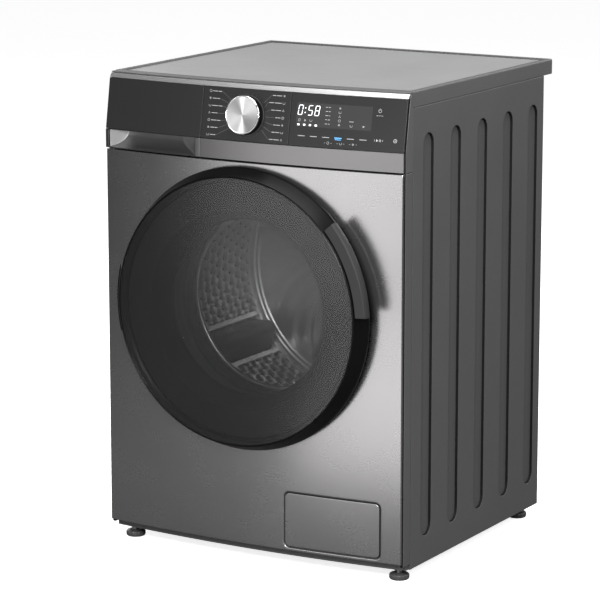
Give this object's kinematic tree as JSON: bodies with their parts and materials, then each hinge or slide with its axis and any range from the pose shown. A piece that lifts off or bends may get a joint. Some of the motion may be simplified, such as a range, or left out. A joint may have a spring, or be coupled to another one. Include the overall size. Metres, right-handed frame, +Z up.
{
  "type": "front load washing machine",
  "caption": "Free-standing front load washing machine with a round tinted glass door, a curved metal front, a turning programme knob and a detergent drawer.",
  "frame": {"origin": "on the floor under the middle of the machine's box, its feet standing on z = 0", "axes": "+Z up, -Y out of the front, +X to the right of someone facing the front"},
  "size_m": [0.597, 0.632, 0.85],
  "materials": {
    "side_sheet": "fine satin powder coat",
    "front_steel": "metallic graphite, fine brushed",
    "silver_trim": "satin silver",
    "worktop_plastic": "fine texture",
    "worktop_inlay": "semi gloss laminate",
    "fascia_gloss": "smooth gloss",
    "door_black": "smooth",
    "door_grip": "satin",
    "door_glass": "smoked, polished",
    "bowl_glass": "clear pressed glass",
    "gasket_rubber": "matte",
    "hose_rubber": "matte",
    "grey_plastic": "moulded",
    "white_plastic": "moulded",
    "black_plastic": "moulded",
    "stainless": "polished stainless",
    "zinc_steel": "zinc plated",
    "cast_aluminium": "sand cast",
    "cast_weight": "rough cast",
    "knob_metal": "spun face"
  },
  "bodies": {
    "cabinet": {"left_side_panel": "side_sheet", "right_side_panel": "side_sheet", "rear_panel": "side_sheet", "rear_service_cover": "side_sheet", "base_tray": "worktop_plastic", "front_panel": "front_steel", "worktop_frame": "worktop_plastic", "worktop_inlay": "worktop_inlay", "control_fascia": "fascia_gloss", "display_cover": "fascia_gloss", "trim_band": "front_steel", "silver_trim_strip": "silver_trim", "dispenser_housing": "white_plastic", "door_lock": "black_plastic", "hinge_bracket": "zinc_steel", "inlet_valve": "white_plastic", "cord_gland": "black_plastic", "drain_pump": "grey_plastic", "sump_hose": "hose_rubber", "door_gasket": "gasket_rubber", "damper_cylinder_left": "black_plastic", "damper_cylinder_right": "black_plastic", "suspension_spring_left": "zinc_steel", "suspension_spring_right": "zinc_steel"},
    "tub": {"tub_front": "grey_plastic", "tub_rear": "grey_plastic", "counterweight": "cast_weight", "front_bearing": "zinc_steel", "rear_bearing": "zinc_steel", "motor_body": "cast_aluminium", "drive_belt": "hose_rubber", "heater": "stainless", "damper_rod_left": "zinc_steel", "damper_rod_right": "zinc_steel"},
    "drum": {"drum_shell": "stainless", "drum_back": "stainless", "lifter_1": "grey_plastic", "lifter_2": "grey_plastic", "lifter_3": "grey_plastic", "drum_spider": "cast_aluminium", "drum_shaft": "zinc_steel", "drum_pulley": "cast_aluminium"},
    "motor_rotor": {"motor_pulley": "zinc_steel"},
    "door": {"door_ring": "door_black", "door_glass": "door_glass", "door_inner_ring": "door_black", "door_bowl": "bowl_glass", "door_handle": "door_grip", "hinge_arm": "zinc_steel"},
    "latch": {"latch_hook": "zinc_steel"},
    "drawer": {"drawer_front": "fascia_gloss", "drawer_tray": "white_plastic"},
    "knob": {"programme_knob": "knob_metal"},
    "flap": {"service_flap": "front_steel"},
    "filter": {"filter_plug": "black_plastic"},
    "impeller": {"pump_impeller": "black_plastic"},
    "foot_front_left": {"foot_front_left": "black_plastic"},
    "foot_front_right": {"foot_front_right": "black_plastic"},
    "foot_rear_left": {"foot_rear_left": "black_plastic"},
    "foot_rear_right": {"foot_rear_right": "black_plastic"}
  },
  "joints": [
    {"name": "tub_suspension", "type": "slide", "parent": "cabinet", "child": "tub", "axis": [0, 0, 1], "range_m": [-0.01, 0.01], "stiffness_N_per_m": 16000, "springref_m": 0.02403, "deforming": ["door_gasket", "suspension_spring_left", "suspension_spring_right", "sump_hose"]},
    {"name": "drum_spin", "type": "hinge", "parent": "tub", "child": "drum", "pos_m": [0, 0, 0.459], "axis": [0, 1, 0], "continuous": true},
    {"name": "motor_spin", "type": "hinge", "parent": "tub", "child": "motor_rotor", "pos_m": [0, 0.23, 0.137], "axis": [0, 1, 0], "continuous": true},
    {"name": "door_hinge", "type": "hinge", "parent": "cabinet", "child": "door", "pos_m": [-0.228, -0.284, 0.459], "axis": [0, 0, -1], "range_deg": [0, 125]},
    {"name": "latch_pivot", "type": "hinge", "parent": "door", "child": "latch", "pos_m": [0.195, -0.26, 0.459], "axis": [1, 0, 0], "range_deg": [0, 8], "stiffness_Nm_per_rad": 0.3},
    {"name": "drawer_slide", "type": "slide", "parent": "cabinet", "child": "drawer", "axis": [0, -1, 0], "range_m": [0, 0.23]},
    {"name": "knob_turn", "type": "hinge", "parent": "cabinet", "child": "knob", "pos_m": [-0.001, -0.26127, 0.794], "axis": [0, -0.9868, 0.162], "continuous": true},
    {"name": "flap_hinge", "type": "hinge", "parent": "cabinet", "child": "flap", "pos_m": [0.08, -0.26459, 0.093], "axis": [0, 0, -1], "range_deg": [0, 80]},
    {"name": "filter_turn", "type": "hinge", "parent": "cabinet", "child": "filter", "pos_m": [0.168, -0.22, 0.093], "axis": [0, -1, 0], "range_deg": [0, 180]},
    {"name": "impeller_spin", "type": "hinge", "parent": "cabinet", "child": "impeller", "pos_m": [0.168, -0.182, 0.093], "axis": [0, 1, 0], "continuous": true},
    {"name": "foot_front_left_screw", "type": "slide", "parent": "cabinet", "child": "foot_front_left", "axis": [0, 0, -1], "range_m": [0, 0.012]},
    {"name": "foot_front_right_screw", "type": "slide", "parent": "cabinet", "child": "foot_front_right", "axis": [0, 0, -1], "range_m": [0, 0.012]},
    {"name": "foot_rear_left_screw", "type": "slide", "parent": "cabinet", "child": "foot_rear_left", "axis": [0, 0, -1], "range_m": [0, 0.012]},
    {"name": "foot_rear_right_screw", "type": "slide", "parent": "cabinet", "child": "foot_rear_right", "axis": [0, 0, -1], "range_m": [0, 0.012]}
  ],
  "couplings": [
    {"joint": "motor_spin", "follows": "drum_spin", "ratio": 12.609}
  ]
}
